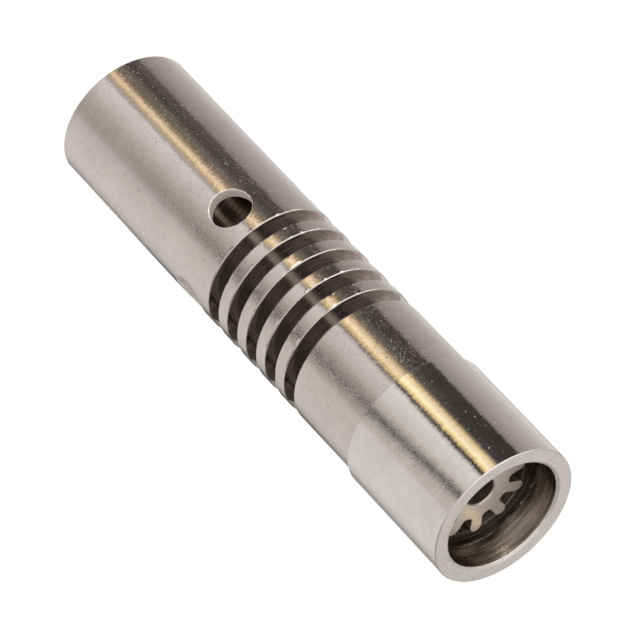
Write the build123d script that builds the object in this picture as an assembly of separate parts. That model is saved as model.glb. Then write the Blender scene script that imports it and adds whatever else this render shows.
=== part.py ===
from build123d import *
import os
from math import cos, sin, radians, sqrt, hypot

# Burner tube of a small gas torch: a bright turned tube, closed near its
# mouth by a toothed flame-holding disc pressed into a seat.
# Millimetres. Z is the tube's axis: the rear end face lies in Z = 0 and the
# mouth points up. One air hole lies on +X.

# ---- tube, outside ----
TUBE_LEN = 59.7          # rear face to mouth face
BODY_D = 14.0            # plain body
CUP_D = 14.7             # thicker collar at the mouth
CUP_LEN = 13.2           # collar length, measured back from the mouth
REAR_EDGE = 0.10         # edge break, rear outside corner
CUP_EDGE = 0.08          # edge break, rear corner of the collar
MOUTH_EDGE = 0.15        # rounding, outside corner of the mouth face

# ---- cooling grooves ----
GROOVE_N = 5
GROOVE_PITCH = 3.0
GROOVE_W = 1.6
GROOVE_Z0 = 24.15        # rear wall of the first groove
GROOVE_FLOOR_D = 11.6

# ---- bores ----
REAR_BORE_D = 11.6       # socket for the gas jet holder
REAR_BORE_LEN = 23.0
REAR_BORE_EDGE = 0.30    # entry chamfer
MAIN_BORE_D = 9.8        # mixing passage, also the disc's seat
MOUTH_BORE_D = 11.6      # flame cup
MOUTH_BORE_LEN = 3.7     # mouth face to the seat shoulder
MOUTH_BORE_EDGE = 0.25   # entry chamfer

# ---- air holes ----
AIR_HOLE_N = 4
AIR_HOLE_D = 4.0
AIR_HOLE_Z = 20.6

# ---- flame disc ----
STAR_TEETH = 10
STAR_TIP_R = MAIN_BORE_D / 2
STAR_ROOT_R = 3.08
STAR_ROOT_HALF = 0.53    # half width of a tooth where it leaves the hub
STAR_FLANK_HALF = 0.585  # half width where the rounded tip begins
STAR_FLANK_U = 4.02      # distance of that place from the axis, along the tooth
STAR_LAND = 0.20         # half width of the flat land left on a tip
STAR_ROOT_FILLET = 0.42
STAR_T = 1.5
STAR_FRONT_Z = 56.3      # stands 0.3 proud of the shoulder
STAR_HOLE_D = 2.9
STAR_HOLE_EDGE = 0.12
STAR_TURN_DEG = 12.4     # first tooth from +X: where it happened to be pressed

os.makedirs("parts", exist_ok=True)


def outline(points):
    return make_face(Polyline(*[(r, z) for r, z in points], close=True).edges())


# ---- burner tube ----
body_r, cup_r, floor_r = BODY_D / 2, CUP_D / 2, GROOVE_FLOOR_D / 2
rear_r, main_r, mouth_r = REAR_BORE_D / 2, MAIN_BORE_D / 2, MOUTH_BORE_D / 2
step_z = TUBE_LEN - CUP_LEN
seat_z = TUBE_LEN - MOUTH_BORE_LEN

outside = [(body_r - REAR_EDGE, 0), (body_r, REAR_EDGE)]
for i in range(GROOVE_N):
    z = GROOVE_Z0 + i * GROOVE_PITCH
    outside += [(body_r, z), (floor_r, z),
                (floor_r, z + GROOVE_W), (body_r, z + GROOVE_W)]
outside += [(body_r, step_z), (cup_r - CUP_EDGE, step_z),
            (cup_r, step_z + CUP_EDGE)]
outside += [(cup_r, TUBE_LEN)]      # square here, rounded below
inside = [(mouth_r + MOUTH_BORE_EDGE, TUBE_LEN),
          (mouth_r, TUBE_LEN - MOUTH_BORE_EDGE),
          (mouth_r, seat_z), (main_r, seat_z), (main_r, REAR_BORE_LEN),
          (rear_r, REAR_BORE_LEN), (rear_r, REAR_BORE_EDGE),
          (rear_r + REAR_BORE_EDGE, 0)]
section = Plane.XZ * outline(outside + inside)
tube = revolve(section, Axis.Z)
mouth_rim = tube.edges().filter_by(GeomType.CIRCLE).filter_by(
    lambda e: abs(e.radius - cup_r) < 1e-6
    and abs(e.center().Z - TUBE_LEN) < 1e-6)
tube = fillet(mouth_rim, MOUTH_EDGE)

for k in range(AIR_HOLE_N):
    drill = Cylinder(AIR_HOLE_D / 2, cup_r,
                     align=(Align.CENTER, Align.CENTER, Align.MIN))
    drill = Pos(0, 0, AIR_HOLE_Z) * Rot(0, 0, 360 / AIR_HOLE_N * k) * Rot(0, 90, 0) * drill
    tube = tube - drill
tube = tube.solids()[0] if not isinstance(tube, Solid) else tube
tube.label = "burner_tube"
export_step(tube, "parts/burner_tube.step")

# ---- flame disc ----
pitch = radians(360 / STAR_TEETH)
tip_u = sqrt(STAR_TIP_R ** 2 - STAR_LAND ** 2)
flank_u, flank_v = STAR_FLANK_U, STAR_FLANK_HALF
root_u, root_v = sqrt(STAR_ROOT_R ** 2 - STAR_ROOT_HALF ** 2), STAR_ROOT_HALF
# the tip's side is an arc that leaves the flank end and reaches the land
mid_u = (flank_u + tip_u) / 2 + 0.115
mid_v = (flank_v + STAR_LAND) / 2 + 0.105


def at(u, v, k):
    t = radians(STAR_TURN_DEG) + k * pitch
    return (u * cos(t) - v * sin(t), u * sin(t) + v * cos(t))


edges = []
for k in range(STAR_TEETH):
    edges += [
        Line(at(root_u, -root_v, k), at(flank_u, -flank_v, k)),
        ThreePointArc(at(flank_u, -flank_v, k), at(mid_u, -mid_v, k),
                      at(tip_u, -STAR_LAND, k)),
        ThreePointArc(at(tip_u, -STAR_LAND, k), at(STAR_TIP_R, 0, k),
                      at(tip_u, STAR_LAND, k)),
        ThreePointArc(at(tip_u, STAR_LAND, k), at(mid_u, mid_v, k),
                      at(flank_u, flank_v, k)),
        Line(at(flank_u, flank_v, k), at(root_u, root_v, k)),
        ThreePointArc(at(root_u, root_v, k), at(STAR_ROOT_R, 0, k + 0.5),
                      at(root_u, -root_v, k + 1)),
    ]
profile = make_face(edges)
corners = [v for v in profile.vertices()
           if abs(hypot(v.X, v.Y) - STAR_ROOT_R) < 1e-4]
profile = fillet(corners, STAR_ROOT_FILLET)
disc = Pos(0, 0, STAR_FRONT_Z - STAR_T) * extrude(profile, STAR_T)
disc = disc - Pos(0, 0, STAR_FRONT_Z - STAR_T) * Cylinder(
    STAR_HOLE_D / 2, STAR_T, align=(Align.CENTER, Align.CENTER, Align.MIN))
front_rim = disc.edges().filter_by(GeomType.CIRCLE).filter_by(
    lambda e: abs(e.radius - STAR_HOLE_D / 2) < 1e-6
    and abs(e.center().Z - STAR_FRONT_Z) < 1e-6)
disc = chamfer(front_rim, STAR_HOLE_EDGE)
disc = disc.solids()[0] if not isinstance(disc, Solid) else disc
disc.label = "flame_disc"
export_step(disc, "parts/flame_disc.step")
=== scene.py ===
import math

import bpy
import numpy as np
from mathutils import Matrix, Vector, geometry


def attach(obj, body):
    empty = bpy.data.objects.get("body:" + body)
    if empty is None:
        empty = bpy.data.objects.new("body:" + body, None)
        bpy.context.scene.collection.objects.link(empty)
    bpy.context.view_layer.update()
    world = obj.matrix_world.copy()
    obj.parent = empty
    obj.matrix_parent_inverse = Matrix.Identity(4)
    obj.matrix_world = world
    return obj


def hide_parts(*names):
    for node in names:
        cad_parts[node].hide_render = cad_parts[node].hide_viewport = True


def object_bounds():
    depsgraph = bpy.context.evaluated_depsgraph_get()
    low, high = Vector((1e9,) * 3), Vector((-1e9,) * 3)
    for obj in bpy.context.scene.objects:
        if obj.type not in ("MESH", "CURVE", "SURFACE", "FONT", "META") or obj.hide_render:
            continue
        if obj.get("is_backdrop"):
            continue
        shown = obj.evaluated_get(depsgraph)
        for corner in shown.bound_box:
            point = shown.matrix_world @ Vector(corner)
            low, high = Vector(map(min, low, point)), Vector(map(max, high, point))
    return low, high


# Everything below is worked out in millimetres and turned into metres when a mesh is made.
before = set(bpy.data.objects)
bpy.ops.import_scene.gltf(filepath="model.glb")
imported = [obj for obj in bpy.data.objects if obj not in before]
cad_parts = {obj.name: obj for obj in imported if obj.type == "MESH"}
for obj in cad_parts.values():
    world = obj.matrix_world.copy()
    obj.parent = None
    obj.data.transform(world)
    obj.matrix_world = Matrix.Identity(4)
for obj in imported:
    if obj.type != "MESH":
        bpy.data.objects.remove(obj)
first_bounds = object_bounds()
scene = bpy.context.scene
MM = 0.001

# ------------------------------------------------------------------ sizes
TUBE_LEN = 59.7
BODY_R = 7.0
CUP_R = 7.35
STEP_Z = 46.5
GROOVES = [24.15 + 3.0 * i for i in range(5)]
GROOVE_W = 1.6
FLOOR_R = 5.8
REAR_R, REAR_LEN = 5.8, 23.0
MAIN_R = 4.9
MOUTH_R, SEAT_Z = 5.8, 56.0
HOLE_R, HOLE_Z = 2.0, 20.6

COLS = 240                      # columns round the tube
STEP = 2 * math.pi / COLS
HALF = 17                       # half width of a hole's patch, in columns
ROWS = 32                       # rows of a hole's patch
OUT_Z0, OUT_Z1 = 17.4, 23.8     # the patch outside
IN_Z0, IN_Z1 = 18.25, 22.85     # the patch inside


# ------------------------------------------------------------------ small tools
def ring_noise(angle, seed, lowest, highest, power=0.6):
    """A smooth closed curve of noise over an angle, about -1 to 1."""
    g = np.random.default_rng(seed)
    out = np.zeros_like(angle)
    norm = 0.0
    for k in range(lowest, highest + 1):
        w = k ** -power
        out = out + w * np.cos(k * angle + g.uniform(0, 2 * math.pi))
        norm += w * w
    return out / math.sqrt(norm / 2) / 1.8


def outline(corners):
    """corners: (r, z, rounding, arc points, zone of the run that follows, longest step on it).
    Gives r, z, normal r, normal z and the zone of the face that follows each point."""
    n = len(corners)
    R, Z, NR, NZ, ZONE = [], [], [], [], []
    P = [np.array(c[:2], float) for c in corners]
    ends = []
    for i in range(n):
        a, b, c = P[i - 1], P[i], P[(i + 1) % n]
        d1 = (b - a) / np.linalg.norm(b - a)
        d2 = (c - b) / np.linalg.norm(c - b)
        turn = math.acos(max(-1, min(1, float(d1 @ d2))))
        rad = corners[i][2]
        t = rad * math.tan(turn / 2)
        ends.append((b - d1 * t, b + d2 * t, d1, d2, turn, rad))
    for i in range(n):
        s, e, d1, d2, turn, rad = ends[i]
        zone, step = corners[i][4], corners[i][5]
        n1 = np.array([d1[1], -d1[0]])
        n2 = np.array([d2[1], -d2[0]])
        if rad > 0 and turn > 1e-6:
            k = corners[i][3]
            side = 1.0 if (n1 @ (e - s)) < 0 else -1.0      # 1 on an outside corner
            centre = s - side * rad * n1
            a1 = math.atan2(n1[1], n1[0])
            a2 = math.atan2(n2[1], n2[0])
            da = (a2 - a1 + math.pi) % (2 * math.pi) - math.pi
            for j in range(k + 1):
                a = a1 + da * j / k
                m = np.array([math.cos(a), math.sin(a)])
                p = centre + side * rad * m
                R.append(p[0]); Z.append(p[1]); NR.append(m[0]); NZ.append(m[1])
                ZONE.append(zone)
        else:
            m = n1 + n2
            m = m / np.linalg.norm(m)
            R.append(s[0]); Z.append(s[1]); NR.append(m[0]); NZ.append(m[1])
            ZONE.append(zone)
        nxt = ends[(i + 1) % n][0]
        length = np.linalg.norm(nxt - e)
        k = max(1, int(math.ceil(length / step - 1e-6)))
        for j in range(1, k):
            p = e + (nxt - e) * j / k
            R.append(p[0]); Z.append(p[1]); NR.append(n2[0]); NZ.append(n2[1])
            ZONE.append(zone)
    return (np.array(R), np.array(Z), np.array(NR), np.array(NZ), np.array(ZONE))


def make_mesh(name, verts, faces, normals, mats, zones):
    me = bpy.data.meshes.new(name)
    me.from_pydata((verts * MM).tolist(), [], faces)
    for m in mats:
        me.materials.append(m)
    me.polygons.foreach_set("material_index", np.asarray(zones, np.int32))
    me.polygons.foreach_set("use_smooth", np.ones(len(faces), bool))
    me.update()
    me.normals_split_custom_set_from_vertices(normals.tolist())
    ob = bpy.data.objects.new(name, me)
    scene.collection.objects.link(ob)
    return ob


# ------------------------------------------------------------------ materials
class Nodes:
    """A thin helper to write node materials as expressions."""

    def __init__(self, tree):
        self.t = tree

    def new(self, kind, **sets):
        n = self.t.nodes.new(kind)
        for k, v in sets.items():
            setattr(n, k, v)
        return n

    def put(self, socket, value):
        if hasattr(value, "links"):
            self.t.links.new(value, socket)
        else:
            socket.default_value = value

    def math(self, op, a, b=None, c=None, clamp=False):
        n = self.new("ShaderNodeMath", operation=op, use_clamp=clamp)
        self.put(n.inputs[0], a)
        if b is not None:
            self.put(n.inputs[1], b)
        if c is not None:
            self.put(n.inputs[2], c)
        return n.outputs[0]

    def vmath(self, op, a, b=None, scale=None):
        n = self.new("ShaderNodeVectorMath", operation=op)
        self.put(n.inputs[0], a)
        if b is not None:
            self.put(n.inputs[1], b)
        if scale is not None:
            self.put(n.inputs["Scale"], scale)
        return n.outputs["Value"] if op in ("LENGTH", "DOT_PRODUCT", "DISTANCE") else n.outputs[0]

    def smooth(self, x, lo, hi, out0=0.0, out1=1.0):
        n = self.new("ShaderNodeMapRange", interpolation_type="SMOOTHSTEP", clamp=True)
        self.put(n.inputs["Value"], x)
        n.inputs["From Min"].default_value = lo
        n.inputs["From Max"].default_value = hi
        n.inputs["To Min"].default_value = out0
        n.inputs["To Max"].default_value = out1
        return n.outputs["Result"]

    def xyz(self, v):
        n = self.new("ShaderNodeSeparateXYZ")
        self.put(n.inputs[0], v)
        return n.outputs[0], n.outputs[1], n.outputs[2]

    def vec(self, x, y, z):
        n = self.new("ShaderNodeCombineXYZ")
        self.put(n.inputs[0], x)
        self.put(n.inputs[1], y)
        self.put(n.inputs[2], z)
        return n.outputs[0]

    def noise(self, v, scale, detail=2.0, rough=0.5, distort=0.0):
        n = self.new("ShaderNodeTexNoise")
        self.put(n.inputs["Vector"], v)
        n.inputs["Scale"].default_value = scale
        n.inputs["Detail"].default_value = detail
        n.inputs["Roughness"].default_value = rough
        n.inputs["Distortion"].default_value = distort
        return n.outputs["Fac"]

    def warp(self, v, scale, amount):
        """Coordinates pushed about by a noise."""
        n = self.new("ShaderNodeTexNoise")
        self.put(n.inputs["Vector"], v)
        n.inputs["Scale"].default_value = scale
        n.inputs["Detail"].default_value = 1.0
        push = self.vmath("SCALE", self.vmath("SUBTRACT", n.outputs["Color"], (0.5, 0.5, 0.5)), scale=amount)
        return self.vmath("ADD", v, push)

    def cells(self, v, scale, feature="F1", randomness=1.0):
        n = self.new("ShaderNodeTexVoronoi", feature=feature)
        self.put(n.inputs["Vector"], v)
        n.inputs["Scale"].default_value = scale
        n.inputs["Randomness"].default_value = randomness
        return n

    def mix(self, fac, a, b, blend="MIX"):
        n = self.new("ShaderNodeMix", data_type="RGBA", blend_type=blend)
        self.put(n.inputs["Factor"], fac)
        ins = [s for s in n.inputs if s.type == "RGBA"]
        self.put(ins[0], a)
        self.put(ins[1], b)
        return [s for s in n.outputs if s.type == "RGBA"][0]

    def bump(self, height, distance, strength=1.0, normal=None):
        n = self.new("ShaderNodeBump")
        n.inputs["Strength"].default_value = strength
        n.inputs["Distance"].default_value = distance
        self.put(n.inputs["Height"], height)
        if normal is not None:
            self.put(n.inputs["Normal"], normal)
        return n.outputs[0]


def start_material(name):
    m = bpy.data.materials.new(name)
    m.use_nodes = True
    n = Nodes(m.node_tree)
    shader = m.node_tree.nodes["Principled BSDF"]
    shader.inputs["Metallic"].default_value = 1.0
    tex = n.new("ShaderNodeTexCoord")
    mm = n.vmath("SCALE", tex.outputs["Object"], scale=1000.0)    # object space in millimetres
    return m, n, shader, mm


def col(r, g, b):
    return (r, g, b, 1.0)


def axis_tangent(n):
    t = n.new("ShaderNodeTangent", direction_type="RADIAL", axis="Z")
    return t.outputs[0]


def turned(n, mm, along, around):
    """Coordinates that stretch noise into rings round the axis: cells 1/along mm high, long round the tube."""
    x, y, z = n.xyz(mm)
    return n.vec(n.math("MULTIPLY", x, around), n.math("MULTIPLY", y, around), n.math("MULTIPLY", z, along))


def tilt_round(n, normal, amount):
    """Leans a normal a little to one side round the axis: what short marks laid round the tube do."""
    tex = n.new("ShaderNodeTexCoord")
    x, y, z = n.xyz(tex.outputs["Object"])
    side = n.vmath("NORMALIZE", n.vec(n.math("MULTIPLY", y, -1.0), x, 0.0))
    return n.vmath("NORMALIZE", n.vmath("ADD", normal, n.vmath("SCALE", side, scale=amount)))


def centred(n, noise, gain):
    return n.math("MULTIPLY", n.math("SUBTRACT", noise, 0.5), gain)


def plated(name, base, rough, grain, pits, seedshift=0.0, aniso=0.5, hair=1.0, rings_h=1.0, sparks=1.0, haze=1.0, lay=1.0):
    """Bright nickel over a turned surface."""
    m, n, s, mm = start_material(name)
    mm = n.vmath("ADD", mm, (seedshift, seedshift * 0.7, 0.0))
    rings = n.noise(turned(n, mm, 7.0, 0.30), 1.0, 2.0, 0.6)               # fine turning marks
    broad = n.noise(turned(n, mm, 0.9, 0.10), 1.0, 2.0, 0.5)               # faint broad bands
    hairs = n.noise(turned(n, mm, 8.5, 0.9), 1.0, 1.5, 0.55)               # short marks round the tube
    hairs2 = n.noise(turned(n, mm, 4.0, 2.2), 1.0, 1.0, 0.5)
    drawn = n.vmath("MULTIPLY", mm, (1.0, 1.0, lay))                       # the polish runs along the tube
    fine = n.noise(drawn, 5.2, 1.5, 0.5)                                   # plating grain
    tiny = n.noise(drawn, 6.5, 3.0, 0.75)                                  # matt spots of the plating
    cloud = n.noise(mm, 0.35, 3.0, 0.55)                                   # slow tone changes
    dirt = n.noise(mm, 1.7, 4.0, 0.6)
    patchy = n.smooth(n.noise(mm, 0.42, 2.0, 0.5), 0.38, 0.62)             # where the grain is coarser
    cell = n.cells(mm, 1.15)                                               # pits: some of the cells' centres
    near = n.smooth(cell.outputs["Distance"], 0.04, 0.15, 1.0, 0.0)
    pick = n.xyz(cell.outputs["Color"])[0]
    pit = n.math("MULTIPLY", near, n.smooth(pick, 1.0 - pits, 1.0 - pits * 0.3))
    cell2 = n.cells(mm, 2.9)
    near2 = n.smooth(cell2.outputs["Distance"], 0.08, 0.22, 1.0, 0.0)
    pick2 = n.xyz(cell2.outputs["Color"])[1]
    pit2 = n.math("MULTIPLY", near2, n.smooth(pick2, 1.0 - pits * 1.5, 1.0 - pits * 0.5))
    cell3 = n.cells(n.warp(n.vmath("MULTIPLY", mm, (1.0, 1.0, 1.3)), 4.0, 0.45), 3.4)         # small bright knocks
    near3 = n.smooth(cell3.outputs["Distance"], 0.04, 0.22, 1.0, 0.0)
    pick3 = n.xyz(cell3.outputs["Color"])[2]
    spark = n.math("MULTIPLY", near3, n.smooth(pick3, 1.0 - 0.14 * sparks, 1.0 - 0.12 * sparks))
    matt = n.math("MULTIPLY", n.smooth(tiny, 0.475, 0.655), n.math("ADD", 0.60, n.math("MULTIPLY", patchy, 0.40)))
    tone = n.smooth(cloud, 0.25, 0.75, 0.965, 1.03)
    tone = n.math("MULTIPLY", tone, n.smooth(dirt, 0.30, 0.62, 0.965, 1.01))
    tone = n.math("MULTIPLY", tone, n.smooth(rings, 0.3, 0.7, 0.985, 1.012))
    tone = n.math("MULTIPLY", tone, n.math("SUBTRACT", 1.0, n.math("MULTIPLY", pit, 0.26)))
    tone = n.math("MULTIPLY", tone, n.math("SUBTRACT", 1.0, n.math("MULTIPLY", pit2, 0.12)))
    n.put(s.inputs["Base Color"], n.vmath("SCALE", n.vec(*base), scale=tone))
    r = n.smooth(fine, 0.3, 0.75, rough * 0.88, rough * 1.16)
    r = n.math("MULTIPLY", r, n.smooth(broad, 0.3, 0.7, 0.93, 1.07))
    r = n.math("ADD", r, n.math("MULTIPLY", matt, 0.30 * haze))
    r = n.math("ADD", r, n.math("MULTIPLY", pit, 0.25))
    n.put(s.inputs["Roughness"], r)
    s.inputs["Anisotropic"].default_value = aniso
    s.inputs["Anisotropic Rotation"].default_value = 0.25
    n.put(s.inputs["Tangent"], axis_tangent(n))
    h = centred(n, fine, 0.0060 * grain)
    h = n.math("MULTIPLY", h, n.math("ADD", 0.65, n.math("MULTIPLY", patchy, 0.7)))
    h = n.math("ADD", h, n.math("MULTIPLY", tiny, 0.0018 * grain))
    h = n.math("ADD", h, n.math("MULTIPLY", rings, 0.0010 * rings_h))
    h = n.math("ADD", h, n.math("MULTIPLY", n.noise(mm, 0.55, 1.0, 0.5), 0.004))
    h = n.math("SUBTRACT", h, n.math("MULTIPLY", pit, 0.008))
    h = n.math("SUBTRACT", h, n.math("MULTIPLY", pit2, 0.003))
    h = n.math("SUBTRACT", h, n.math("MULTIPLY", spark, 0.015 * min(1.0, sparks * 1.6)))
    lean = n.math("ADD", centred(n, hairs, 0.16 * hair), centred(n, hairs2, 0.10 * hair))
    n.put(s.inputs["Normal"], tilt_round(n, n.bump(h, MM), lean))
    return m


def toward(n, mm, angle_deg):
    """1 on the side of the axis that faces angle_deg, -1 on the other."""
    x, y, z = n.xyz(mm)
    a = math.radians(angle_deg)
    flat = n.vmath("NORMALIZE", n.vec(x, y, 0.0))
    return n.vmath("DOT_PRODUCT", flat, (math.cos(a), math.sin(a), 0.0))


def dark_groove(name, base, rough, painted_lit_colour=None, painted_shade_depth=None):
    """Sides and floors of the grooves: turned. They can carry painted light, a lighter colour on the sides of the tube
    where light falls, and painted shade on another side.
    """
    m, n, s, mm = start_material(name)
    x, y, z = n.xyz(mm)
    radius = n.math("SQRT", n.math("ADD", n.math("MULTIPLY", x, x), n.math("MULTIPLY", y, y)))
    ringed = n.vec(n.math("MULTIPLY", n.math("ADD", radius, z), 7.0), n.math("MULTIPLY", x, 0.25), n.math("MULTIPLY", y, 0.25))
    rings = n.noise(ringed, 1.0, 2.0, 0.6)
    cloud = n.noise(mm, 0.8, 3.0, 0.6)
    fine = n.noise(mm, 6.0, 2.0, 0.6)
    tone = n.smooth(cloud, 0.3, 0.7, 0.95, 1.04)
    tone = n.math("MULTIPLY", tone, n.smooth(rings, 0.3, 0.7, 0.95, 1.05))
    ground = n.vec(*base)
    # painted light: a lighter colour on the sides of the tube toward -80, -105 and 119 degrees, where light falls
    if painted_lit_colour:
        half = [(b * 0.50 + c * 0.50) for b, c in zip(base, painted_lit_colour)]
        fac = n.smooth(toward(n, mm, -80.0), math.cos(math.radians(45.0)), math.cos(math.radians(28.0)))
        ground = n.mix(fac, col(*base), col(*half))
        fac = n.smooth(toward(n, mm, -105.0), math.cos(math.radians(34.0)), math.cos(math.radians(12.0)))
        ground = n.mix(fac, ground, col(*painted_lit_colour))
        fac = n.smooth(toward(n, mm, 119.0), math.cos(math.radians(36.0)), math.cos(math.radians(10.0)))
        ground = n.mix(fac, ground, col(base[0] * 1.7, base[1] * 1.7, base[2] * 1.7))
    # painted shade: darker on the side of the tube toward 92 degrees, where shade falls on the grooves
    if painted_shade_depth:
        tone = n.math("MULTIPLY", tone, n.smooth(toward(n, mm, 92.0), math.cos(math.radians(17.0)), math.cos(math.radians(7.0)), 1.0, painted_shade_depth))
    n.put(s.inputs["Base Color"], n.vmath("SCALE", ground, scale=tone))
    n.put(s.inputs["Roughness"], n.smooth(fine, 0.3, 0.7, rough * 0.9, rough * 1.12))
    s.inputs["Anisotropic"].default_value = 0.3
    s.inputs["Anisotropic Rotation"].default_value = 0.25
    n.put(s.inputs["Tangent"], axis_tangent(n))
    h = n.math("ADD", n.math("MULTIPLY", fine, 0.00012), n.math("MULTIPLY", rings, 0.0006))
    n.put(s.inputs["Normal"], n.bump(h, MM))
    return m


def satin(name, base, rough, grain, spiral=0.0, specks=0.18, across=None, metal=1.0, painted_light=False):
    """A faced surface: satin, with small specks. across: lay of the marks for a drilled wall."""
    m, n, s, mm = start_material(name)
    s.inputs["Metallic"].default_value = metal
    x, y, z = n.xyz(mm)
    radius = n.math("SQRT", n.math("ADD", n.math("MULTIPLY", x, x), n.math("MULTIPLY", y, y)))
    ringed = n.vec(n.math("MULTIPLY", radius, 8.0), n.math("MULTIPLY", x, 0.12), n.math("MULTIPLY", y, 0.12))
    rings = n.noise(ringed, 1.0, 2.0, 0.5)
    fine = n.noise(mm, 5.0, 2.0, 0.6)
    cloud = n.noise(mm, 0.7, 3.0, 0.55)
    cell = n.cells(mm, 1.6)
    near = n.smooth(cell.outputs["Distance"], 0.05, 0.20, 1.0, 0.0)
    speck = n.math("MULTIPLY", near, n.smooth(n.xyz(cell.outputs["Color"])[0], 1.0 - specks, 1.0 - specks * 0.3))
    tone = n.smooth(cloud, 0.25, 0.75, 0.955, 1.03)
    tone = n.math("MULTIPLY", tone, n.smooth(rings, 0.3, 0.7, 1.0 - spiral, 1.0 + spiral * 0.7))
    tone = n.math("MULTIPLY", tone, n.math("SUBTRACT", 1.0, n.math("MULTIPLY", speck, 0.24)))
    grit = n.noise(mm, 9.0, 1.0, 0.5)
    tone = n.math("MULTIPLY", tone, n.smooth(grit, 0.30, 0.70, 0.88, 1.10))
    ground = n.vec(*base)
    if painted_light:
        # painted light: a warm patch painted over one tooth, where light falls in through the mouth
        a = math.radians(99.75)
        side = n.math("ADD", n.math("MULTIPLY", x, math.cos(a)), n.math("MULTIPLY", y, math.sin(a)))
        b_ = math.radians(189.75)
        along = n.math("ADD", n.math("MULTIPLY", x, math.cos(b_)), n.math("MULTIPLY", y, math.sin(b_)))
        off = n.math("DIVIDE", n.math("SUBTRACT", side, 1.95), 0.55)
        painted_warm_patch = n.math("EXPONENT", n.math("MULTIPLY", n.math("MULTIPLY", off, off), -1.0))
        painted_warm_patch = n.math("MULTIPLY", painted_warm_patch, n.smooth(along, -0.3, 0.9))
        painted_warm_patch = n.math("MULTIPLY", painted_warm_patch, n.smooth(n.noise(n.vec(n.math("MULTIPLY", side, 5.0), n.math("MULTIPLY", along, 1.2), z), 1.0, 2.0, 0.6), 0.25, 0.65, 0.45, 1.0))
        ground = n.mix(painted_warm_patch, col(*base), col(min(1, base[0] * 1.34), base[1] * 1.22, base[2] * 0.98))
    n.put(s.inputs["Base Color"], n.vmath("SCALE", ground, scale=tone))
    n.put(s.inputs["Roughness"], n.smooth(fine, 0.3, 0.7, rough * 0.92, rough * 1.1))
    if across:
        # a drilled wall: marks run round the hole, so it scatters along the hole's own axis
        pick_x = n.math("GREATER_THAN", n.math("ABSOLUTE", x), n.math("ABSOLUTE", y))
        n.put(s.inputs["Tangent"], n.vec(pick_x, n.math("SUBTRACT", 1.0, pick_x), 0.0))
        s.inputs["Anisotropic"].default_value = across
    h = n.math("ADD", n.math("MULTIPLY", fine, 0.004 * grain), n.math("MULTIPLY", rings, 0.0012))
    h = n.math("ADD", h, n.math("MULTIPLY", grit, 0.0035 * grain))
    n.put(s.inputs["Normal"], n.bump(h, MM))
    return m


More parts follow.
